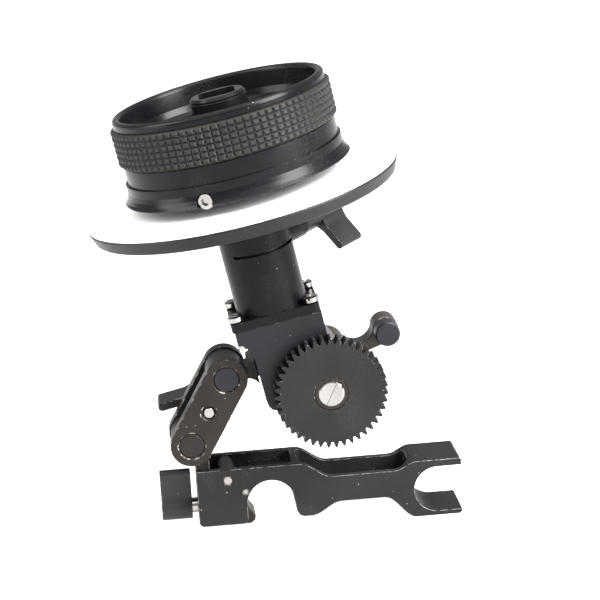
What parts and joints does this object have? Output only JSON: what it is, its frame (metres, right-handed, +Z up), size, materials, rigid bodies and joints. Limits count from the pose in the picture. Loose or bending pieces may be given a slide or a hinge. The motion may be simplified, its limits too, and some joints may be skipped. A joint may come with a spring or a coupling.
{
  "type": "follow focus unit",
  "caption": "Single-sided follow focus: rod bridge with lever clamp, folding link and arm, tilting gearbox with lens gear, white marking disc and knurled hand wheel",
  "frame": {"origin": "centre of the half-round rod seat on the bridge's front face", "axes": "X right along the bridge towards the fork, Y away from the viewer along the rods, Z up"},
  "size_m": [0.1145, 0.0994, 0.1492],
  "materials": {
    "dark_alloy": "satin",
    "black_paint": "semi-gloss",
    "burnished_steel": "satin",
    "bright_steel": "polished",
    "grey_alloy": "matte",
    "brass": "satin",
    "white_plastic": "gloss",
    "grip": "matte"
  },
  "bodies": {
    "base": {"base_bridge": "dark_alloy", "jaw_pivot_pin": "bright_steel", "jaw_stop_pin": "bright_steel"},
    "jaw": {"rod_clamp_jaw": "burnished_steel"},
    "thrust": {"jaw_thrust_pad": "bright_steel"},
    "base_handle": {"base_clamp_screw": "bright_steel", "base_clamp_lever": "black_paint"},
    "link": {"link_front_plate": "burnished_steel", "link_rear_plate": "burnished_steel", "link_lower_pin": "burnished_steel", "link_upper_pin": "black_paint"},
    "link_handle": {"link_clamp_screw": "bright_steel", "link_clamp_lever": "black_paint"},
    "arm": {"swing_arm": "burnished_steel", "tilt_washer": "bright_steel"},
    "head": {"gearbox_housing": "black_paint", "flange_screws": "bright_steel", "neck_tube": "black_paint", "shaft_bush_lower": "brass", "shaft_bush_upper": "brass", "gear_shaft_bush": "brass", "disc_clamp_shoe": "brass", "tilt_stud": "bright_steel"},
    "tilt_handle": {"tilt_lever": "grey_alloy", "finger_stub": "black_paint"},
    "disc_handle": {"disc_clamp_screw": "bright_steel", "disc_clamp_lever": "black_paint"},
    "disc": {"disc_hub": "dark_alloy", "disc_backing": "black_paint", "marking_disc": "white_plastic", "disc_ring_nut": "dark_alloy"},
    "wheel": {"handwheel": "black_paint", "grip_band": "grip", "wheel_collar": "black_paint", "wheel_set_screws": "bright_steel", "crank_socket": "black_paint", "wheel_shaft": "bright_steel", "wheel_screw": "bright_steel", "wheel_helical_gear": "bright_steel"},
    "gear": {"gear_shaft": "bright_steel", "shaft_helical_gear": "brass", "drive_gear": "dark_alloy", "gear_washer": "burnished_steel", "gear_screw": "bright_steel"}
  },
  "joints": [
    {"name": "base_lever_turn", "type": "hinge", "parent": "thrust", "child": "base_handle", "pos_m": [-0.0305, 0.0086, -0.0018], "axis": [1, 0, 0], "range_deg": [-150, 150]},
    {"name": "thrust_feed", "type": "slide", "parent": "base", "child": "thrust", "axis": [1, 0, 0], "range_m": [-0.00034, 0.00034]},
    {"name": "jaw_swing", "type": "hinge", "parent": "base", "child": "jaw", "pos_m": [-0.0136, 0.0086, 0.0087], "axis": [0, 1, 0], "range_deg": [-1.85, 1.85]},
    {"name": "link_swing", "type": "hinge", "parent": "base", "child": "link", "pos_m": [-0.0244, 0.0086, 0.0218], "axis": [0, 1, 0], "range_deg": [-50, 10]},
    {"name": "link_lever_turn", "type": "hinge", "parent": "link", "child": "link_handle", "pos_m": [-0.01819, 0.022, 0.03242], "axis": [0, 1, 0], "range_deg": [-60, 60]},
    {"name": "arm_swing", "type": "hinge", "parent": "link", "child": "arm", "pos_m": [-0.01199, 0.0086, 0.04304], "axis": [0, 1, 0], "range_deg": [-35, 10]},
    {"name": "head_tilt", "type": "hinge", "parent": "arm", "child": "head", "pos_m": [0.0229, 0.0171, 0.0441], "axis": [0, 1, 0], "range_deg": [-2, 45]},
    {"name": "tilt_lever_turn", "type": "hinge", "parent": "arm", "child": "tilt_handle", "pos_m": [0.0229, 0.0242, 0.0441], "axis": [0, 1, 0], "range_deg": [-60, 35]},
    {"name": "disc_lever_turn", "type": "hinge", "parent": "head", "child": "disc_handle", "pos_m": [0.02228, 0.02667, 0.08919], "axis": [0.7297, 0.6691, 0.1405], "range_deg": [-45, 45]},
    {"name": "disc_turn", "type": "hinge", "parent": "head", "child": "disc", "pos_m": [-0.00271, 0.0066, 0.10108], "axis": [-0.1891, 0, 0.982], "continuous": true},
    {"name": "wheel_spin", "type": "hinge", "parent": "head", "child": "wheel", "pos_m": [-0.00649, 0.0066, 0.12072], "axis": [-0.1891, 0, 0.982], "continuous": true},
    {"name": "gear_spin", "type": "hinge", "parent": "head", "child": "gear", "pos_m": [0.02027, -0.0074, 0.03931], "axis": [0, 1, 0], "continuous": true}
  ],
  "couplings": [
    {"joint": "thrust_feed", "follows": "base_lever_turn", "m_per_rad": 0.00012732},
    {"joint": "jaw_swing", "follows": "base_lever_turn", "ratio": -0.012126},
    {"joint": "gear_spin", "follows": "wheel_spin", "ratio": -1}
  ]
}
